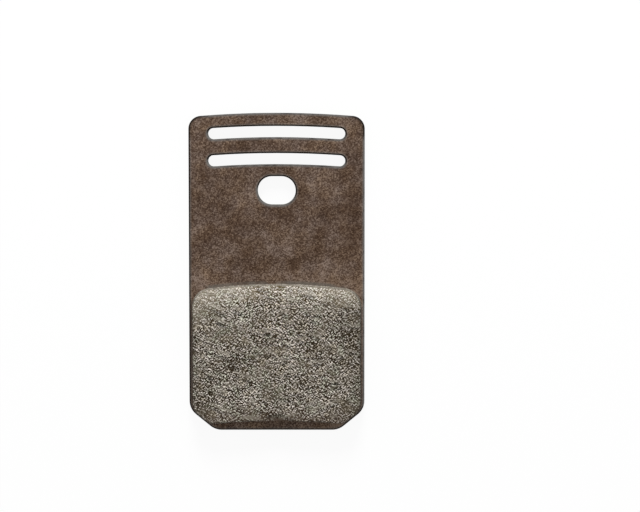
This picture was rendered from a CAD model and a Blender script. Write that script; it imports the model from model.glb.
import math

import bpy
from bpy.props import FloatProperty, FloatVectorProperty, PointerProperty
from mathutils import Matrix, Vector


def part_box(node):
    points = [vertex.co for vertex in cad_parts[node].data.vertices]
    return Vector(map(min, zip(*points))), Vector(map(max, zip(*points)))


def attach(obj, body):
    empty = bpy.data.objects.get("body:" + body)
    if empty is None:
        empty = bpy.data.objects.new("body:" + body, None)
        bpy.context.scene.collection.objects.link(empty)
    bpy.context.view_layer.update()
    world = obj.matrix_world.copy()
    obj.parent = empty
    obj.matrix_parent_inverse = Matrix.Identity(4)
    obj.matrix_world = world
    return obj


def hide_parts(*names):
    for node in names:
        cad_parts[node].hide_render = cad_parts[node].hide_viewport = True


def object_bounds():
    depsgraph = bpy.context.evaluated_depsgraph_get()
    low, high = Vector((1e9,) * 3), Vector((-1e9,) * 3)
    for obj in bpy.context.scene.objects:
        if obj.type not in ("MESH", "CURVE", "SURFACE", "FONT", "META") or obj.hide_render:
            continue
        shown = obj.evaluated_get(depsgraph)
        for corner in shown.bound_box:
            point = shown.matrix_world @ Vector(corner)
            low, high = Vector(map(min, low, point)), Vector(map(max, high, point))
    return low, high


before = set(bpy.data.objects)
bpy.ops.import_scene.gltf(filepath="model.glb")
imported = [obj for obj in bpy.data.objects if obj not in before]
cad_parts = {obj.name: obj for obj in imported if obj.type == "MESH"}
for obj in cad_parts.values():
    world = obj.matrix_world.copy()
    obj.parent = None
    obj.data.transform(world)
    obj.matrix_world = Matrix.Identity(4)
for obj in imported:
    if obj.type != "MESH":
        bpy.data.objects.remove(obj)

bl_info = {
    "name": "Disc Brake Pad",
    "version": (1, 0, 0),
    "blender": (4, 5, 0),
    "location": "View3D > Sidebar > Brake Pad",
    "description": "Dresses a bicycle disc brake pad: its coated steel plate and its granular friction block",
    "category": "Add Mesh",
}

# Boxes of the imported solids, in metres, with the pad lying on its back face
CAD_LOW, CAD_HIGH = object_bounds()
BLOCK_LOW, BLOCK_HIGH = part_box("friction_block")
PLATE_FRONT = BLOCK_LOW.z

# Radius of the block's curved top edge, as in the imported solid
BLOCK_TOP_RADIUS = 0.08


class PlateFinish(bpy.types.PropertyGroup):
    """Edges and coats of the backing plate."""

    edge_rounding: FloatProperty(
        name="Edge Rounding",
        description="How far each side of a stamped edge is rounded over",
        default=0.00013,
        min=0.0,
        precision=5,
        unit="LENGTH",
    )
    rim_width: FloatProperty(
        name="Rim Width",
        description="Width of the pale line that runs beside the front face's edges",
        default=0.00015,
        min=0.0,
        precision=5,
        unit="LENGTH",
    )
    blotch_size: FloatProperty(
        name="Blotch Size",
        description="Size of the cloudy blotches in the scorched front coat",
        default=0.0042,
        min=0.0001,
        precision=5,
        unit="LENGTH",
    )
    cloud_size: FloatProperty(
        name="Cloud Size",
        description="Size of the small clouds in the scorched front coat, which also roughen it",
        default=0.0005,
        min=0.00001,
        precision=5,
        unit="LENGTH",
    )
    speck_size: FloatProperty(
        name="Speck Size",
        description="Size of the fine specks in the scorched front coat",
        default=0.00015,
        min=0.00001,
        precision=5,
        unit="LENGTH",
    )
    scorch_dark: FloatVectorProperty(
        name="Scorch Dark",
        description="Darkest brown of the front coat",
        default=(0.030, 0.0143, 0.0068),
        min=0.0,
        max=1.0,
        subtype="COLOR",
    )
    scorch_brown: FloatVectorProperty(
        name="Scorch Brown",
        description="Main brown of the front coat",
        default=(0.087, 0.0535, 0.0365),
        min=0.0,
        max=1.0,
        subtype="COLOR",
    )
    scorch_pale: FloatVectorProperty(
        name="Scorch Pale",
        description="Palest brown of the front coat",
        default=(0.249, 0.181, 0.137),
        min=0.0,
        max=1.0,
        subtype="COLOR",
    )
    worn_steel: FloatVectorProperty(
        name="Worn Steel",
        description="Grey of the steel where the coat has rubbed off the edges",
        default=(0.19, 0.180, 0.169),
        min=0.0,
        max=1.0,
        subtype="COLOR",
    )
    sheared_wall: FloatVectorProperty(
        name="Sheared Wall",
        description="Dark brown of the sheared walls",
        default=(0.022, 0.018, 0.014),
        min=0.0,
        max=1.0,
        subtype="COLOR",
    )
    dark_edge: FloatVectorProperty(
        name="Dark Edge",
        description="Colour of the edges that keep their soot",
        default=(0.011, 0.0065, 0.004),
        min=0.0,
        max=1.0,
        subtype="COLOR",
    )
    bond_dust: FloatVectorProperty(
        name="Bond Dust",
        description="Grey of the dust that lies along the block's top edge",
        default=(0.135, 0.122, 0.105),
        min=0.0,
        max=1.0,
        subtype="COLOR",
    )
    peel_size: FloatProperty(
        name="Peel Size",
        description="Size of the orange peel's ripples in the yellow coat",
        default=0.00022,
        min=0.00001,
        precision=5,
        unit="LENGTH",
    )
    back_yellow: FloatVectorProperty(
        name="Back Yellow",
        description="Yellow of the powder coat on the back",
        default=(0.425, 0.381, 0.041),
        min=0.0,
        max=1.0,
        subtype="COLOR",
    )


class FrictionFinish(bpy.types.PropertyGroup):
    """Grain and colours of the friction block."""

    mesh_step: FloatProperty(
        name="Mesh Step",
        description="Size of the mesh's faces, which carry the grain as relief",
        default=0.000095,
        min=0.00005,
        precision=5,
        unit="LENGTH",
    )
    grain_size: FloatProperty(
        name="Grain Size",
        description="Distance from one grain of the compound to the next",
        default=0.00022,
        min=0.00001,
        precision=5,
        unit="LENGTH",
    )
    grain_relief: FloatProperty(
        name="Grain Relief",
        description="Depth of the gaps between the grains",
        default=0.00007,
        min=0.0,
        precision=5,
        unit="LENGTH",
    )
    pore_relief: FloatProperty(
        name="Pore Relief",
        description="Depth of the scattered pores",
        default=0.00008,
        min=0.0,
        precision=5,
        unit="LENGTH",
    )
    speck_size: FloatProperty(
        name="Speck Size",
        description="Size of the specks of one shade",
        default=0.000145,
        min=0.00001,
        precision=5,
        unit="LENGTH",
    )
    gap_reach: FloatProperty(
        name="Gap Reach",
        description="How far below a pale speck, seen from the crown, its dark gap lies",
        default=0.00021,
        min=0.0,
        precision=5,
        unit="LENGTH",
    )
    side_gap_reach: FloatProperty(
        name="Side Gap Reach",
        description="How far to the left of a pale speck its fainter gap lies",
        default=0.00025,
        min=0.0,
        precision=5,
        unit="LENGTH",
    )
    streak_width: FloatProperty(
        name="Streak Width",
        description="Width of the streaks that the disc has drawn across the face",
        default=0.00026,
        min=0.00001,
        precision=5,
        unit="LENGTH",
    )
    streak_lean: FloatProperty(
        name="Streak Lean",
        description="Angle at which the streaks fall away to the right",
        default=math.radians(14),
        subtype="ANGLE",
    )
    smear_width: FloatProperty(
        name="Smear Width",
        description="Width of the pale smears, which turn away from the streaks lower down",
        default=0.0006,
        min=0.00001,
        precision=5,
        unit="LENGTH",
    )
    hollow_reach: FloatProperty(
        name="Hollow Reach",
        description="How far below a pale smear, seen from the crown, its dark hollow lies",
        default=0.0007,
        min=0.0,
        precision=5,
        unit="LENGTH",
    )
    pale_grain: FloatVectorProperty(
        name="Pale Grain",
        description="Colour of the palest grains",
        default=(0.80, 0.747, 0.668),
        min=0.0,
        max=1.0,
        subtype="COLOR",
    )
    grey_grain: FloatVectorProperty(
        name="Grey Grain",
        description="Colour of the common grains",
        default=(0.166, 0.141, 0.1025),
        min=0.0,
        max=1.0,
        subtype="COLOR",
    )
    dark_gap: FloatVectorProperty(
        name="Dark Gap",
        description="Colour of the gaps and pores",
        default=(0.0197, 0.0127, 0.0046),
        min=0.0,
        max=1.0,
        subtype="COLOR",
    )
    pale_smear: FloatVectorProperty(
        name="Pale Smear",
        description="Tan of the smears",
        default=(0.30, 0.27, 0.22),
        min=0.0,
        max=1.0,
        subtype="COLOR",
    )
    dark_hollow: FloatVectorProperty(
        name="Dark Hollow",
        description="Blue-grey of the hollows below the smears",
        default=(0.030, 0.032, 0.033),
        min=0.0,
        max=1.0,
        subtype="COLOR",
    )
    moulded_skin: FloatVectorProperty(
        name="Moulded Skin",
        description="Grey-brown of the skin that the mould leaves on the block's walls",
        default=(0.085, 0.072, 0.055),
        min=0.0,
        max=1.0,
        subtype="COLOR",
    )
    chip_brown: FloatVectorProperty(
        name="Chip Brown",
        description="Brown that stains the chipped lower rim",
        default=(0.090, 0.061, 0.044),
        min=0.0,
        max=1.0,
        subtype="COLOR",
    )


class StudioStage(bpy.types.PropertyGroup):
    """Camera, floor and lamps."""

    view_width: FloatProperty(
        name="View Width",
        description="Width that the camera sees at the plate's front face",
        default=0.09429,
        min=0.01,
        precision=5,
        unit="LENGTH",
    )
    view_centre: FloatVectorProperty(
        name="View Centre",
        description="Point on the plate's front face at the middle of the image",
        default=(0.006376, 0.002404),
        size=2,
        precision=5,
        unit="LENGTH",
    )
    camera_distance: FloatProperty(
        name="Camera Distance",
        description="Distance of the camera from the middle of the image on the plate's front face",
        default=0.3,
        min=0.1,
        unit="LENGTH",
    )
    camera_lean: FloatProperty(
        name="Camera Lean",
        description="Angle by which the camera leans from upright towards the slotted end",
        default=math.radians(4),
        subtype="ANGLE",
    )
    key_distance: FloatProperty(
        name="Key Distance",
        description="Distance of the key lamp from the pad",
        default=0.5,
        min=0.1,
        unit="LENGTH",
    )
    key_width: FloatProperty(
        name="Key Width",
        description="Width of the key lamp",
        default=0.16,
        min=0.01,
        unit="LENGTH",
    )
    key_elevation: FloatProperty(
        name="Key Elevation",
        description="Angle of the key lamp above the floor",
        default=math.radians(34),
        min=math.radians(5),
        max=math.radians(85),
        subtype="ANGLE",
    )
    key_share: FloatProperty(
        name="Key Share",
        description="Share of a level face's light that the key lamp gives; the sky gives the rest",
        default=0.5,
        min=0.0,
        max=1.0,
        subtype="FACTOR",
    )
    floor_shadow: FloatProperty(
        name="Floor Shadow",
        description="Share of the floor's white that the pad's shadow can take away",
        default=0.08,
        min=0.0,
        max=1.0,
        subtype="FACTOR",
    )


class BrakePad(bpy.types.PropertyGroup):
    """Everything that a user may change on the pad and its stage."""

    plate: PointerProperty(name="Plate", description="Finish of the backing plate", type=PlateFinish)
    friction: PointerProperty(name="Friction", description="Finish of the block", type=FrictionFinish)
    stage: PointerProperty(name="Stage", description="Camera, floor and lamps", type=StudioStage)


# Node helpers

def plug(tree, socket, value):
    """Set a socket to a value, or link it to another node's output."""
    if isinstance(value, bpy.types.NodeSocket):
        tree.links.new(value, socket)
    else:
        socket.default_value = value


def add_node(tree, kind, inputs=None, **settings):
    """Add a node, with its settings, and set or link its inputs."""
    node = tree.nodes.new(kind)
    for name, value in settings.items():
        setattr(node, name, value)
    for socket, value in (inputs or {}).items():
        plug(tree, node.inputs[socket], value)
    return node


def calc(tree, operation, *values, clamp=False):
    """Work one sum on numbers or sockets."""
    node = add_node(tree, "ShaderNodeMath", dict(enumerate(values)), operation=operation, use_clamp=clamp)
    return node.outputs[0]


def times(tree, first, *others):
    """Multiply numbers or sockets together."""
    for other in others:
        first = calc(tree, "MULTIPLY", first, other)
    return first


def add_up(tree, start, *parts):
    """Add values, each times its share, to a start."""
    for value, share in parts:
        start = calc(tree, "MULTIPLY_ADD", value, share, start)
    return start


def rest_of(tree, share):
    """Give what a share leaves of the whole."""
    return calc(tree, "SUBTRACT", 1.0, share)


def remap(tree, value, span, to=(0.0, 1.0)):
    """Turn one range, smoothly and clamped, into another."""
    inputs = dict(enumerate((value, *span, *to)))
    return add_node(tree, "ShaderNodeMapRange", inputs, interpolation_type="SMOOTHSTEP").outputs[0]


def noise(tree, place, size, detail=2.0, roughness=0.5):
    """Give a cloudy value, about 0.5 on average, whose lumps have the given size."""
    inputs = {"Vector": place, "Scale": 1 / size, "Detail": detail, "Roughness": roughness}
    return add_node(tree, "ShaderNodeTexNoise", inputs).outputs[0]


def ramp(tree, value, stops):
    """Turn a value into a colour through (position, colour) stops."""
    node = add_node(tree, "ShaderNodeValToRGB", {0: value})
    elements = node.color_ramp.elements
    while len(elements) < len(stops):
        elements.new(1.0)
    for element, (position, colour) in zip(elements, stops):
        element.position = position
        element.color = (*colour, 1.0)
    return node.outputs[0]


def mix(tree, factor, first, second, blend="MIX"):
    """Blend two colours, which a mix takes at sockets 6 and 7 and gives at output 2."""
    inputs = {0: factor}
    for socket, colour in ((6, first), (7, second)):
        inputs[socket] = colour if isinstance(colour, bpy.types.NodeSocket) else (*colour, 1.0)
    node = add_node(tree, "ShaderNodeMix", inputs, data_type="RGBA", blend_type=blend)
    return node.outputs[2]


def axes(tree, vector):
    """Split a vector into its three axes."""
    return add_node(tree, "ShaderNodeSeparateXYZ", {0: vector}).outputs


def attribute(tree, name):
    """Read one of the piece's own attributes as a number."""
    return add_node(tree, "ShaderNodeAttribute", attribute_name=name).outputs["Fac"]


def block_top_gap(tree, place):
    """Distance from the block's curved top edge, positive on the plate and negative on the block."""
    x, y, _ = axes(tree, place)
    rise = times(tree, x, x, 0.5 / BLOCK_TOP_RADIUS)
    return calc(tree, "ADD", calc(tree, "SUBTRACT", y, BLOCK_HIGH.y), rise)


def scaled(tree, place, lie):
    """Draw a pattern in or out along each axis: a number below 1 draws it out."""
    return add_node(tree, "ShaderNodeVectorMath", {0: place, 1: lie}, operation="MULTIPLY").outputs[0]


def shifted(tree, place, across, along):
    """Look up a pattern a step to the right and a step nearer the crown."""
    return add_node(tree, "ShaderNodeVectorMath", {0: place, 1: (across, along, 0.0)}).outputs[0]


def leaning(tree, place, lean):
    """Lay a pattern so that it falls away to the right."""
    x, y, z = axes(tree, place)
    level = calc(tree, "MULTIPLY_ADD", x, math.tan(lean), y)
    return add_node(tree, "ShaderNodeCombineXYZ", {0: x, 1: level, 2: z}).outputs[0]


def cell_shade(tree, place, size):
    """Give each grain of the given size one shade between 0 and 1."""
    cells = add_node(tree, "ShaderNodeTexVoronoi", {"Vector": place, "Scale": 1 / size})
    return axes(tree, cells.outputs["Color"])[0]


def seen_directly(tree):
    """Tell, as 1 or 0, whether a ray comes from the camera, a reflection or a clear surface."""
    path = add_node(tree, "ShaderNodeLightPath").outputs
    seen = calc(tree, "ADD", path["Is Camera Ray"], path["Is Glossy Ray"])
    return calc(tree, "ADD", seen, path["Is Transmission Ray"], clamp=True)


def new_material(name):
    """Make a material and return it with its node tree and its shader."""
    material = bpy.data.materials.new(name)
    material.use_nodes = True
    tree = material.node_tree
    return material, tree, tree.nodes["Principled BSDF"]


def finish_surface(tree, shader, colour, roughness, gloss, bumps, bump_strength, bump_depth):
    """Give a shader its colour, roughness, gloss and fine bumps."""
    inputs = {"Height": bumps, "Strength": bump_strength, "Distance": bump_depth}
    bump = add_node(tree, "ShaderNodeBump", inputs)
    plug(tree, shader.inputs["Base Color"], colour)
    plug(tree, shader.inputs["Roughness"], roughness)
    plug(tree, shader.inputs["Specular IOR Level"], gloss)
    plug(tree, shader.inputs["Normal"], bump.outputs[0])


# Finishes, with sizes and places in metres

# A pair of places runs from where a change starts to where it is full.
# A pair of lumps holds the values of a noise between which its patches fade in.

# Front face: shares of the patterns in its tone, which start from a dark one
SCORCH_START = -0.6676
SCORCH_SPECKS = 0.735
SCORCH_BLOTCHES = 1.155
SCORCH_CLOUDS = 0.385

# Front face: paler below the crown and where dust falls above the block, darker on the strip below the block
CROWN_FADE = (0.014, 0.0215)
CROWN_PALING = 0.084
DUST_FALL = (0.0035, 0.0006)
DUST_PALING = 0.175
STRIP_FADE = (BLOCK_LOW.y + 0.0006, BLOCK_LOW.y)
STRIP_CONTRAST = 0.3
STRIP_DROP = -0.2025

# Front face: patches of a warmer and of a cooler brown
SCORCH_TINT_SIZE = 0.0022
SCORCH_TINTS = (
    (0.36, (1.0, 0.955, 0.865)),
    (0.64, (0.975, 0.995, 1.05)),
)

# Line of dust along the block's top edge
DUST_LINE_TOP = (0.0006, 0.0002)
DUST_LINE_FOOT = (-0.0005, -0.0001)
DUST_LINE_ENDS = (0.0108, 0.0098)
DUST_LUMP_SIZE = 0.0024
DUST_LUMPS = (0.36, 0.56)
DUST_LINE_COVER = (0.1, 0.7)

# Rim of the front face: rubbed pale, sooty at the top corners and beside the block on the left
RIM_WEAR = 0.45
RIM_SOOT = 0.7
CORNER_ACROSS = (0.0100, 0.0115)
CORNER_ALONG = (0.0190, 0.0205)
MARGIN_FADE = (BLOCK_LOW.x + 0.0003, BLOCK_LOW.x)
MARGIN_TOP = (-0.0010, -0.0025)
MARGIN_SOOT = 0.42


def top_corners(tree, place):
    """Share of soot that the plate's two top corners keep."""
    x, y, _ = axes(tree, place)
    across = remap(tree, calc(tree, "ABSOLUTE", x), CORNER_ACROSS)
    return times(tree, across, remap(tree, y, CORNER_ALONG))


def scorched_face(tree, finish, place, clouds, corners):
    """Colour of the plate's front face."""
    x, y, _ = axes(tree, place)
    above_block = block_top_gap(tree, place)
    tone = add_up(
        tree,
        SCORCH_START,
        (cell_shade(tree, place, finish.speck_size), SCORCH_SPECKS),
        (noise(tree, place, finish.blotch_size, detail=4.0, roughness=0.62), SCORCH_BLOTCHES),
        (clouds, SCORCH_CLOUDS),
        (remap(tree, y, CROWN_FADE), CROWN_PALING),
        (remap(tree, above_block, DUST_FALL), DUST_PALING),
    )
    strip_tone = calc(tree, "MULTIPLY_ADD", tone, STRIP_CONTRAST, STRIP_DROP)
    tone = calc(tree, "MULTIPLY_ADD", remap(tree, y, STRIP_FADE), strip_tone, tone)
    stops = ((0.0, finish.scorch_dark), (0.5, finish.scorch_brown), (1.0, finish.scorch_pale))
    tint = ramp(tree, noise(tree, place, SCORCH_TINT_SIZE, detail=3.0), SCORCH_TINTS)
    colour = mix(tree, 1.0, ramp(tree, tone, stops), tint, "MULTIPLY")

    dust_line = times(
        tree,
        remap(tree, above_block, DUST_LINE_TOP),
        remap(tree, above_block, DUST_LINE_FOOT),
        remap(tree, calc(tree, "ABSOLUTE", x), DUST_LINE_ENDS),
        remap(tree, noise(tree, place, DUST_LUMP_SIZE), DUST_LUMPS, DUST_LINE_COVER),
    )
    colour = mix(tree, dust_line, colour, finish.bond_dust)

    rim = attribute(tree, "rim")
    worn_rim = times(tree, rim, rest_of(tree, corners), RIM_WEAR)
    colour = mix(tree, worn_rim, colour, finish.worn_steel)
    colour = mix(tree, times(tree, rim, corners, RIM_SOOT), colour, finish.sheared_wall)
    margin = times(tree, remap(tree, x, MARGIN_FADE), remap(tree, above_block, MARGIN_TOP), MARGIN_SOOT)
    return mix(tree, margin, colour, finish.sheared_wall)


# Edges: how far they turn to the crown or the right, and not to the lower end, where they are rubbed to steel
EDGE_TURN = (0.08, 0.4)
EDGE_NOT_LOWER = (-0.3, -0.05)
RUB_SIZE = 0.0011
RUB_LUMPS = (0.30, 0.56)
RUB_COVER = (0.12, 0.55)
RIGHT_EXTRA_RUB = 0.27


def rubbed_edges(tree, finish, place, facing, corners):
    """Colour of the edges: rubbed to steel towards the crown and the right, dark elsewhere."""
    face_x, face_y, _ = facing
    rub = remap(tree, noise(tree, place, RUB_SIZE, detail=3.0), RUB_LUMPS, RUB_COVER)
    crownward = times(tree, remap(tree, face_y, EDGE_TURN), rub)
    rightward = times(
        tree,
        remap(tree, face_x, EDGE_TURN),
        remap(tree, face_y, EDGE_NOT_LOWER),
        calc(tree, "ADD", rub, RIGHT_EXTRA_RUB),
    )
    rubbed = times(tree, calc(tree, "MAXIMUM", crownward, rightward), rest_of(tree, corners))
    return mix(tree, rubbed, finish.dark_edge, finish.worn_steel)


# Sheared walls: drag lines of the punch down to a wavy line, below which the steel has torn
DRAG_LIE = (1.0, 1.0, 0.06)
DRAG_SIZE = 0.00016
DRAG_LUMPS = (0.3, 0.65)
DRAG_SHINE = (0.35, 1.0)
TEAR_WAVE_SIZE = 0.0012
TEAR_WAVE_HEIGHT = 0.0007
TEAR_FADE = (0.0011, 0.0013)


def sheared_walls(tree, finish, place):
    """Colour of the walls: burnished by the punch towards the front, torn and darker towards the back."""
    _, _, z = axes(tree, place)
    drag = noise(tree, scaled(tree, place, DRAG_LIE), DRAG_SIZE)
    tear_line = add_up(tree, z, (noise(tree, place, TEAR_WAVE_SIZE), TEAR_WAVE_HEIGHT))
    burnished = times(tree, remap(tree, tear_line, TEAR_FADE), remap(tree, drag, DRAG_LUMPS, DRAG_SHINE))
    return mix(tree, burnished, finish.sheared_wall, finish.worn_steel)


# Yellow overspray, which thins out up the walls from the back
SPRAY_SIZE = 0.0004
SPRAY_HEIGHT = 0.0011
SPRAY_FADE = (0.00105, 0.0007)

# Whole coat: how far up a face points where its edge and its wall begin, and how the surface shines
EDGE_BEGINS = (0.995, 0.92)
WALL_BEGINS = (0.4, 0.15)
CLOUD_LUMPS = (0.3, 0.7)
COAT_ROUGHNESS = (0.62, 0.82)
COAT_GLOSS = 0.12
COAT_BUMP_STRENGTH = 0.4
COAT_BUMP_DEPTH = 0.0001


def front_coat(finish):
    """Scorched brown coat on the front, with rubbed edges, sheared walls and overspray from the back."""
    material, tree, shader = new_material("scorched_coat")
    surface = add_node(tree, "ShaderNodeTexCoord")
    place = surface.outputs["Object"]
    facing = axes(tree, surface.outputs["Normal"])
    clouds = noise(tree, place, finish.cloud_size, roughness=0.7)
    corners = top_corners(tree, place)

    colour = scorched_face(tree, finish, place, clouds, corners)
    edge = rubbed_edges(tree, finish, place, facing, corners)
    colour = mix(tree, remap(tree, facing[2], EDGE_BEGINS), colour, edge)
    wall = sheared_walls(tree, finish, place)
    colour = mix(tree, remap(tree, facing[2], WALL_BEGINS), colour, wall)
    spray = noise(tree, place, SPRAY_SIZE, detail=3.0, roughness=0.65)
    spray_line = add_up(tree, axes(tree, place)[2], (spray, SPRAY_HEIGHT))
    colour = mix(tree, remap(tree, spray_line, SPRAY_FADE), colour, finish.back_yellow)

    roughness = remap(tree, clouds, CLOUD_LUMPS, COAT_ROUGHNESS)
    finish_surface(tree, shader, colour, roughness, COAT_GLOSS, clouds, COAT_BUMP_STRENGTH, COAT_BUMP_DEPTH)
    return material


# Yellow coat: shares of its peel and of slow patches in its tone, and the shade of each tone
PEEL_SHARE = 0.7
YELLOW_PATCH_SIZE = 0.006
YELLOW_PATCH_SHARE = 0.3
YELLOW_SHADES = ((0.3, 0.86), (0.7, 1.12))
PEEL_LUMPS = (0.3, 0.7)
PEEL_ROUGHNESS = (0.27, 0.38)
PEEL_GLOSS = 0.4
PEEL_BUMP_STRENGTH = 1.0
PEEL_BUMP_DEPTH = 0.00014


def back_coat(finish):
    """Yellow powder coat with a fine orange peel."""
    material, tree, shader = new_material("yellow_powder_coat")
    place = add_node(tree, "ShaderNodeTexCoord").outputs["Object"]
    peel = noise(tree, place, finish.peel_size, detail=1.0)
    patches = noise(tree, place, YELLOW_PATCH_SIZE, detail=3.0)
    tone = add_up(tree, times(tree, peel, PEEL_SHARE), (patches, YELLOW_PATCH_SHARE))
    stops = [(at, [shade * part for part in finish.back_yellow]) for at, shade in YELLOW_SHADES]
    colour = ramp(tree, tone, stops)
    roughness = remap(tree, peel, PEEL_LUMPS, PEEL_ROUGHNESS)
    finish_surface(tree, shader, colour, roughness, PEEL_GLOSS, peel, PEEL_BUMP_STRENGTH, PEEL_BUMP_DEPTH)
    return material


# Grains: how they lie, what darkens and lightens their tone, and the tones of the gaps, grey and pale grains
GRAIN_LIE = (1.1, 1.2, 1.1)
STREAK_LIE = (1 / 7, 1.0, 1.0)
GRAIN_START = -0.302
GAP_SHARE = -0.4
SIDE_GAP_SHARE = -0.25
HEIGHT_SHARE = 0.2
STREAK_SHARE = 0.28
PATCH_SIZE = 0.0035
PATCH_SHARE = 0.45
GAP_TONE = 0.33
GREY_TONE = 0.50
PALE_TONE = 0.67

# Grains: calmer patches, laid away from the others, and tints of green, violet and tan
CALM_SHIFT = 0.03
CALM_SIZE = 0.0024
CALM_LUMPS = (0.48, 0.66)
CALM_COVER = (0.0, 0.34)
GRAIN_TINT_SIZE = 0.0012
GRAIN_TINTS = (
    (0.35, (0.955, 1.0, 0.94)),
    (0.50, (1.0, 0.975, 1.0)),
    (0.65, (1.0, 0.965, 0.90)),
)


def grain_colour(tree, finish, place, leant):
    """Colour of the grains: each has its own shade, a dark gap below it and a fainter one beside it."""
    specks, gaps, side_gaps = (
        cell_shade(tree, scaled(tree, shifted(tree, place, across, along), GRAIN_LIE), finish.speck_size)
        for across, along in ((0.0, 0.0), (0.0, finish.gap_reach), (finish.side_gap_reach, 0.0))
    )
    tone = add_up(
        tree,
        calc(tree, "ADD", specks, GRAIN_START),
        (gaps, GAP_SHARE),
        (side_gaps, SIDE_GAP_SHARE),
        (attribute(tree, "grain_height"), HEIGHT_SHARE),
        (noise(tree, scaled(tree, leant, STREAK_LIE), finish.streak_width, detail=1.0), STREAK_SHARE),
        (noise(tree, place, PATCH_SIZE, detail=3.0), PATCH_SHARE),
    )
    stops = ((GAP_TONE, finish.dark_gap), (GREY_TONE, finish.grey_grain), (PALE_TONE, finish.pale_grain))
    colour = ramp(tree, tone, stops)
    calm = noise(tree, shifted(tree, place, CALM_SHIFT, 0.0), CALM_SIZE)
    colour = mix(tree, remap(tree, calm, CALM_LUMPS, CALM_COVER), colour, finish.grey_grain)
    tint = ramp(tree, noise(tree, place, GRAIN_TINT_SIZE), GRAIN_TINTS)
    return mix(tree, 1.0, colour, tint, "MULTIPLY")


# Smears: how they lie and turn, their cover, and that of the hollows below them and of slow dark stains
SMEAR_LIE = (1 / 4, 1.0, 1.0)
SMEAR_TURN = 0.38
SMEAR_BOW = 30.0
SMEAR_LUMPS = (0.56, 0.68)
SMEAR_COVER = (0.0, 0.55)
HOLLOW_LUMPS = (0.58, 0.70)
HOLLOW_COVER = (0.0, 0.4)
STAIN_SIZE = 0.0041
STAIN_LUMPS = (0.40, 0.30)
STAIN_COVER = (0.0, 0.45)


def bowed(tree, place):
    """Turn a pattern so that it rises to the right, like a bowl's side, towards the block's lower rim."""
    x, y, z = axes(tree, place)
    lower = remap(tree, y, (BLOCK_HIGH.y, BLOCK_LOW.y))
    slope = times(tree, lower, calc(tree, "MULTIPLY_ADD", x, SMEAR_BOW, SMEAR_TURN))
    level = calc(tree, "SUBTRACT", y, times(tree, slope, x))
    return add_node(tree, "ShaderNodeCombineXYZ", {0: x, 1: level, 2: z}).outputs[0]


def smeared(tree, finish, place, leant, colour):
    """Lay pale smears over a colour, with dark hollows below them, and dark stains."""
    flow = bowed(tree, leant)
    below = shifted(tree, flow, 0.0, finish.hollow_reach)
    for where, lumps, cover, shade in (
        (flow, SMEAR_LUMPS, SMEAR_COVER, finish.pale_smear),
        (below, HOLLOW_LUMPS, HOLLOW_COVER, finish.dark_hollow),
    ):
        smears = noise(tree, scaled(tree, where, SMEAR_LIE), finish.smear_width, detail=1.5)
        colour = mix(tree, remap(tree, smears, lumps, cover), colour, shade)
    stains = noise(tree, place, STAIN_SIZE, detail=3.0)
    return mix(tree, remap(tree, stains, STAIN_LUMPS, STAIN_COVER), colour, finish.dark_gap)


# Brown stains: round the chip, in an oval that is wider than it is high, and along the lower rim
CHIP_FLATTENING = 1.3
CHIP_FADE = (0.0022, 0.0008)
CHIP_COVER = (0.0, 0.7)
LOWER_RIM_FADE = (BLOCK_LOW.y + 0.0034, BLOCK_LOW.y + 0.0004)
LOWER_RIM_COVER = (0.0, 0.4)


def chip_stained(tree, finish, place, colour):
    """Stain a colour brown round the chip and along the lower rim."""
    x, y, _ = axes(tree, place)
    chip_y = times(tree, calc(tree, "SUBTRACT", y, BLOCK_LOW.y), CHIP_FLATTENING)
    chip_gap = calc(tree, "SQRT", add_up(tree, times(tree, chip_y, chip_y), (x, x)))
    for stain in (
        remap(tree, chip_gap, CHIP_FADE, CHIP_COVER),
        remap(tree, y, LOWER_RIM_FADE, LOWER_RIM_COVER),
    ):
        colour = mix(tree, stain, colour, finish.chip_brown)
    return colour


# Leading edge: its dust reaches further down the face on the left, and lies thicker away from the middle.
# A gamma below one levels the shades, lifting the dark gaps most, and the colour that it takes is made up.
DUST_SIDES = (-0.004, -0.011)
DUST_REACH = (-0.0040, -0.0070)
DUST_FULL = -0.0002
DUST_MIDDLE_SHIFT = 0.0005
DUST_CORNERS = (0.004, 0.009)
DUST_COVER = (0.02, 0.32)
DUST_LEVELLING = -0.36
DUST_BRIGHTENING = 0.11
DUST_COLOURING = 0.16

# Dark sides of the face, which lie further to the left higher up
SIDE_STAIN_RISE = (-0.010, -0.004)
SIDE_STAIN_SHIFT = (0.0005, 0.0020)
SIDE_STAIN_FADE = (0.0090, 0.0120)
SIDE_STAIN_COVER = (0.0, 0.26)

# Walls: how far up a face points between wall and face, and the skin's cover, less on the leading wall
FACE_LEVEL = (0.2, 0.55)
SKIN_COVER = (0.66, 0.5)


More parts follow.
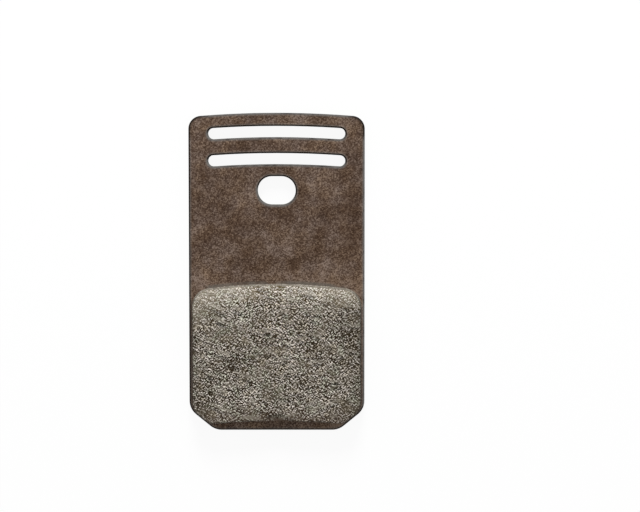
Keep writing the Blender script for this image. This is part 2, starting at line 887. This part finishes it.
def dusted(tree, finish, place, colour):
    """Darken a colour at the sides, dust it on the leading edge, and lay the mould's skin on the walls."""
    x, _, _ = axes(tree, place)
    top_gap = block_top_gap(tree, place)
    on_face = remap(tree, attribute(tree, "level"), FACE_LEVEL)
    leading = remap(tree, top_gap, (remap(tree, x, DUST_SIDES, DUST_REACH), DUST_FULL))
    dust = times(tree, leading, on_face)

    side_shift = remap(tree, top_gap, SIDE_STAIN_RISE, SIDE_STAIN_SHIFT)
    side = calc(tree, "ABSOLUTE", calc(tree, "ADD", x, side_shift))
    side_stain = times(tree, rest_of(tree, dust), remap(tree, side, SIDE_STAIN_FADE, SIDE_STAIN_COVER))
    colour = mix(tree, side_stain, colour, finish.dark_gap)

    off_middle = calc(tree, "ABSOLUTE", calc(tree, "ADD", x, DUST_MIDDLE_SHIFT))
    cover = times(tree, dust, remap(tree, off_middle, DUST_CORNERS, DUST_COVER))
    colour = mix(tree, cover, colour, finish.grey_grain)
    gamma = calc(tree, "MULTIPLY_ADD", dust, DUST_LEVELLING, 1.0)
    colour = add_node(tree, "ShaderNodeGamma", {"Color": colour, "Gamma": gamma}).outputs[0]
    inputs = {
        "Color": colour,
        "Saturation": calc(tree, "MULTIPLY_ADD", dust, DUST_COLOURING, 1.0),
        "Value": calc(tree, "MULTIPLY_ADD", dust, DUST_BRIGHTENING, 1.0),
    }
    colour = add_node(tree, "ShaderNodeHueSaturation", inputs).outputs[0]

    skin = mix(tree, leading, finish.moulded_skin, finish.pale_smear)
    skin_cover = times(tree, rest_of(tree, on_face), remap(tree, leading, (0.0, 1.0), SKIN_COVER))
    return mix(tree, skin_cover, colour, skin)


# Surface of the compound
COMPOUND_ROUGHNESS = 0.9
COMPOUND_GLOSS = 0.12
COMPOUND_BUMP_SIZE = 0.00016
COMPOUND_BUMP_STRENGTH = 0.5
COMPOUND_BUMP_DEPTH = 0.0001


def friction_compound(finish):
    """Pale and grey grains over dark gaps, smeared, stained and dusted, with a calmer skin on the walls."""
    material, tree, shader = new_material("friction_compound")
    place = add_node(tree, "ShaderNodeTexCoord").outputs["Object"]
    leant = leaning(tree, place, finish.streak_lean)
    colour = grain_colour(tree, finish, place, leant)
    colour = smeared(tree, finish, place, leant, colour)
    colour = chip_stained(tree, finish, place, colour)
    colour = dusted(tree, finish, place, colour)
    bumps = noise(tree, place, COMPOUND_BUMP_SIZE, detail=1.0)
    finish_surface(
        tree,
        shader,
        colour,
        COMPOUND_ROUGHNESS,
        COMPOUND_GLOSS,
        bumps,
        COMPOUND_BUMP_STRENGTH,
        COMPOUND_BUMP_DEPTH,
    )
    return material


def white_floor(shadow_share):
    """White to the camera, less the share of it that the pad's shadow takes away."""
    material, tree, shader = new_material("white_floor")
    glow = times(tree, seen_directly(tree), 1 - shadow_share)
    shader.inputs["Base Color"].default_value = (shadow_share, shadow_share, shadow_share, 1.0)
    shader.inputs["Roughness"].default_value = 1.0
    shader.inputs["Specular IOR Level"].default_value = 0.0
    shader.inputs["Emission Color"].default_value = (1.0, 1.0, 1.0, 1.0)
    tree.links.new(glow, shader.inputs["Emission Strength"])
    return material


# Relief of the grain: from a grain's rim to its top, its roughness, scattered pores and slow waves
GRAIN_RISE = (0.75, 0.1)
GRAIN_ROUGH_SIZE = 0.00022
ROUGH_SHARE = 0.5
RISE_SHARE = 0.5
PORE_SIZE = 0.0006
PORE_LUMPS = (0.56, 0.72)
PORE_DARKENING = 0.6
WAVE_SIZE = 0.004
WAVE_DEPTH = 0.00006

# The relief fades out at the block's foot and on its underside
FOOT_FADE = (PLATE_FRONT, PLATE_FRONT + 0.0003)
UNDERSIDE_FADE = (-0.6, -0.2)


def grain_relief(finish):
    """Nodes that sink the gaps between grains, and scattered pores, below the block's surface."""
    tree = bpy.data.node_groups.new("grain_relief", "GeometryNodeTree")
    tree.interface.new_socket("Geometry", in_out="INPUT", socket_type="NodeSocketGeometry")
    tree.interface.new_socket("Geometry", in_out="OUTPUT", socket_type="NodeSocketGeometry")
    start = add_node(tree, "NodeGroupInput")
    end = add_node(tree, "NodeGroupOutput")
    place = add_node(tree, "GeometryNodeInputPosition").outputs[0]
    outward = add_node(tree, "GeometryNodeInputNormal").outputs[0]
    level = axes(tree, outward)[2]

    inputs = {"Vector": scaled(tree, place, GRAIN_LIE), "Scale": 1 / finish.grain_size}
    cells = add_node(tree, "ShaderNodeTexVoronoi", inputs)
    grains = remap(tree, cells.outputs["Distance"], GRAIN_RISE)
    rough = noise(tree, place, GRAIN_ROUGH_SIZE, roughness=0.6)
    pores = remap(tree, noise(tree, place, PORE_SIZE), PORE_LUMPS)
    height = add_up(tree, times(tree, grains, RISE_SHARE), (rough, ROUGH_SHARE))
    depth = add_up(
        tree,
        times(tree, rest_of(tree, height), finish.grain_relief),
        (pores, finish.pore_relief),
        (noise(tree, place, WAVE_SIZE), WAVE_DEPTH),
    )
    above_foot = remap(tree, axes(tree, place)[2], FOOT_FADE)
    depth = times(tree, depth, remap(tree, level, UNDERSIDE_FADE), above_foot)
    inputs = {0: outward, "Scale": times(tree, depth, -1.0)}
    sink = add_node(tree, "ShaderNodeVectorMath", inputs, operation="SCALE").outputs[0]

    # The finish reads the grain's height and how level the surface was
    height = calc(tree, "SUBTRACT", height, times(tree, pores, PORE_DARKENING))
    shape = start.outputs[0]
    for name, value in (("grain_height", height), ("level", level)):
        inputs = {"Geometry": shape, "Name": name, "Value": value}
        shape = add_node(tree, "GeometryNodeStoreNamedAttribute", inputs).outputs[0]
    moved = add_node(tree, "GeometryNodeSetPosition", {"Geometry": shape, "Offset": sink})
    tree.links.new(moved.outputs[0], end.inputs[0])
    return tree


# Modelling: distances within which points and heights count as one
MERGE_DISTANCE = 0.000002
SAME_HEIGHT = 0.00001

# Modelling: faces join up to the first angle, edges are rounded from the second and smooth up to the third
FLAT_ANGLE = math.radians(0.5)
ROUNDED_ANGLE = math.radians(25)
SMOOTH_ANGLE = math.radians(60)
ROUNDING_STEPS = 2

# Modelling: limits for how far up a face points, from 1 for up to -1 for down
FACES_FRONT = 0.99
FACES_BACK = -0.1
FACES_PLATE = -0.7


def copy_solid(node_name, piece_name):
    """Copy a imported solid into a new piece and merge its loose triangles."""
    bpy.ops.object.select_all(action="DESELECT")
    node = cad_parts[node_name]
    node.select_set(True)
    bpy.context.view_layer.objects.active = node
    bpy.ops.object.duplicate()
    piece = bpy.context.view_layer.objects.active
    piece.name = piece_name
    piece.data.name = piece_name
    bpy.ops.object.mode_set(mode="EDIT")
    bpy.ops.mesh.select_all(action="SELECT")
    bpy.ops.mesh.customdata_custom_splitnormals_clear()
    bpy.ops.mesh.remove_doubles(threshold=MERGE_DISTANCE)
    bpy.ops.object.mode_set(mode="OBJECT")
    return piece


def apply_modifiers(piece):
    """Apply a piece's modifiers from the first to the last."""
    for name in [modifier.name for modifier in piece.modifiers]:
        bpy.ops.object.modifier_apply(modifier=name)


def dress(piece, materials, node_name):
    """Give a piece its finishes, and put it in its solid's place."""
    piece.data.materials.clear()
    for material in materials:
        piece.data.materials.append(material)
    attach(piece, "root")
    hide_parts(node_name)


class BRAKEPAD_OT_backing_plate(bpy.types.Operator):
    """Round the stamped plate's edges and give it its coats"""

    bl_idname = "brake_pad.backing_plate"
    bl_label = "Backing Plate"
    bl_options = {"REGISTER", "UNDO"}

    def execute(self, context):
        finish = context.scene.brake_pad.plate
        piece = copy_solid("backing_plate", "coated_plate")
        bpy.ops.object.mode_set(mode="EDIT")
        bpy.ops.mesh.dissolve_limited(angle_limit=FLAT_ANGLE)
        bpy.ops.mesh.select_mode(type="FACE")
        bpy.ops.mesh.select_all(action="DESELECT")
        bpy.ops.object.mode_set(mode="OBJECT")

        # An inset ring along the front face's edges carries the pale rim
        for face in piece.data.polygons:
            on_front = abs(face.center.z - PLATE_FRONT) < SAME_HEIGHT
            face.select = on_front and face.normal.z > FACES_FRONT
        bpy.ops.object.mode_set(mode="EDIT")
        bpy.ops.mesh.inset(thickness=finish.edge_rounding + finish.rim_width)
        bpy.ops.object.mode_set(mode="OBJECT")
        rim = piece.data.attributes.new("rim", "FLOAT", "POINT")
        inside = {corner for face in piece.data.polygons if face.select for corner in face.vertices}
        for index, point in enumerate(rim.data):
            point.value = 0.0 if index in inside else 1.0

        bpy.ops.object.shade_smooth()
        rounding = piece.modifiers.new("edge_rounding", "BEVEL")
        rounding.width = finish.edge_rounding
        rounding.segments = ROUNDING_STEPS
        rounding.limit_method = "ANGLE"
        rounding.angle_limit = ROUNDED_ANGLE
        rounding.harden_normals = True
        apply_modifiers(piece)
        dress(piece, (front_coat(finish), back_coat(finish)), "backing_plate")
        for face in piece.data.polygons:
            face.material_index = 1 if face.normal.z < FACES_BACK else 0
        return {"FINISHED"}


class BRAKEPAD_OT_friction_block(bpy.types.Operator):
    """Raise the grain of the friction block and give it its colours"""

    bl_idname = "brake_pad.friction_block"
    bl_label = "Friction Block"
    bl_options = {"REGISTER", "UNDO"}

    def execute(self, context):
        finish = context.scene.brake_pad.friction
        piece = copy_solid("friction_block", "granular_block")
        mesh_steps = piece.modifiers.new("mesh_steps", "REMESH")
        mesh_steps.mode = "VOXEL"
        mesh_steps.voxel_size = finish.mesh_step
        grain = piece.modifiers.new("grain_relief", "NODES")
        grain.node_group = grain_relief(finish)
        apply_modifiers(piece)

        # The hidden underside needs no fine faces, so its foot is filled anew
        bpy.ops.object.mode_set(mode="EDIT")
        bpy.ops.mesh.select_all(action="DESELECT")
        bpy.ops.object.mode_set(mode="OBJECT")
        for face in piece.data.polygons:
            at_foot = face.center.z < PLATE_FRONT + finish.mesh_step
            face.select = at_foot and face.normal.z < FACES_PLATE
        bpy.ops.object.mode_set(mode="EDIT")
        bpy.ops.mesh.delete(type="FACE")
        bpy.ops.mesh.select_mode(type="EDGE")
        bpy.ops.mesh.select_non_manifold(extend=False)
        bpy.ops.mesh.fill(use_beauty=False)
        bpy.ops.object.mode_set(mode="OBJECT")
        bpy.ops.object.shade_smooth_by_angle(angle=SMOOTH_ANGLE)
        dress(piece, (friction_compound(finish),), "friction_block")
        return {"FINISHED"}


# Stage, in metres
FLOOR_WIDTH = 3.0
FLOOR_GAP = 0.00002
NEAREST_SEEN = 0.01


def add_floor(stage):
    """Lay a white floor just below the pad's back face."""
    bpy.ops.object.select_all(action="DESELECT")
    bpy.ops.mesh.primitive_plane_add(size=FLOOR_WIDTH, location=(0.0, 0.0, CAD_LOW.z - FLOOR_GAP))
    floor = bpy.context.object
    floor.name = "floor"
    bpy.ops.object.transform_apply(location=True, rotation=True, scale=True)
    floor.data.materials.append(white_floor(stage.floor_shadow))


def add_sky(scene, stage):
    """Put up a sky that looks white and gives the light that the key lamp leaves to it."""
    world = bpy.data.worlds.new("white_sky")
    world.use_nodes = True
    scene.world = world
    tree = world.node_tree
    background = tree.nodes["Background"]
    background.inputs["Color"].default_value = (1.0, 1.0, 1.0, 1.0)
    strength = calc(tree, "MULTIPLY_ADD", seen_directly(tree), stage.key_share, 1 - stage.key_share)
    tree.links.new(strength, background.inputs["Strength"])


def add_key_lamp(stage):
    """Hang the key lamp beyond the crown, facing the pad."""
    reach = stage.key_distance
    slope = stage.key_elevation
    place = Vector((0.0, reach * math.cos(slope), reach * math.sin(slope)))
    bpy.ops.object.light_add(type="AREA", location=place, rotation=(slope - math.pi / 2, 0.0, 0.0))
    key = bpy.context.object
    key.name = "key_lamp"
    key.data.shape = "SQUARE"
    key.data.size = stage.key_width
    key.data.energy = stage.key_share * (math.pi * reach) ** 2 / math.sin(slope)
    key.visible_camera = False


def add_camera(scene, stage):
    """Aim the camera at the plate's front face, leaning a little from upright."""
    reach = stage.camera_distance
    lean = stage.camera_lean
    place = Vector((*stage.view_centre, PLATE_FRONT))
    place += Vector((0.0, reach * math.sin(lean), reach * math.cos(lean)))
    bpy.ops.object.camera_add(location=place, rotation=(-lean, 0.0, 0.0))
    camera = bpy.context.object
    camera.name = "camera"
    camera.data.sensor_fit = "HORIZONTAL"
    camera.data.lens = camera.data.sensor_width * reach / stage.view_width
    camera.data.clip_start = NEAREST_SEEN
    scene.camera = camera


class BRAKEPAD_OT_stage(bpy.types.Operator):
    """Set the floor, the sky, the key lamp and the camera that looks down on the pad"""

    bl_idname = "brake_pad.stage"
    bl_label = "Stage"
    bl_options = {"REGISTER", "UNDO"}

    def execute(self, context):
        scene = context.scene
        stage = scene.brake_pad.stage
        scene.view_settings.view_transform = "Standard"
        add_floor(stage)
        add_sky(scene, stage)
        add_key_lamp(stage)
        add_camera(scene, stage)
        return {"FINISHED"}


class BRAKEPAD_PT_sidebar(bpy.types.Panel):
    """The pad's pieces and what can be changed on them"""

    bl_idname = "BRAKEPAD_PT_sidebar"
    bl_label = "Brake Pad"
    bl_space_type = "VIEW_3D"
    bl_region_type = "UI"
    bl_category = "Brake Pad"

    def draw(self, context):
        pad = context.scene.brake_pad
        for operator, group in (
            (BRAKEPAD_OT_backing_plate, pad.plate),
            (BRAKEPAD_OT_friction_block, pad.friction),
            (BRAKEPAD_OT_stage, pad.stage),
        ):
            box = self.layout.box()
            box.operator(operator.bl_idname)
            for name in group.bl_rna.properties.keys():
                if name not in {"rna_type", "name"}:
                    box.prop(group, name)


CLASSES = (
    PlateFinish,
    FrictionFinish,
    StudioStage,
    BrakePad,
    BRAKEPAD_OT_backing_plate,
    BRAKEPAD_OT_friction_block,
    BRAKEPAD_OT_stage,
    BRAKEPAD_PT_sidebar,
)


def register():
    """Add the pad's settings, operators and panel to Blender."""
    for cls in CLASSES:
        bpy.utils.register_class(cls)
    bpy.types.Scene.brake_pad = PointerProperty(type=BrakePad)


def unregister():
    """Take the settings, operators and panel out of Blender again."""
    del bpy.types.Scene.brake_pad
    for cls in reversed(CLASSES):
        bpy.utils.unregister_class(cls)


def main():
    """Build the pad and its stage, and note the sizes."""
    register()
    bpy.ops.brake_pad.backing_plate()
    bpy.ops.brake_pad.friction_block()
    bpy.ops.brake_pad.stage()


if __name__ == "__main__":
    main()
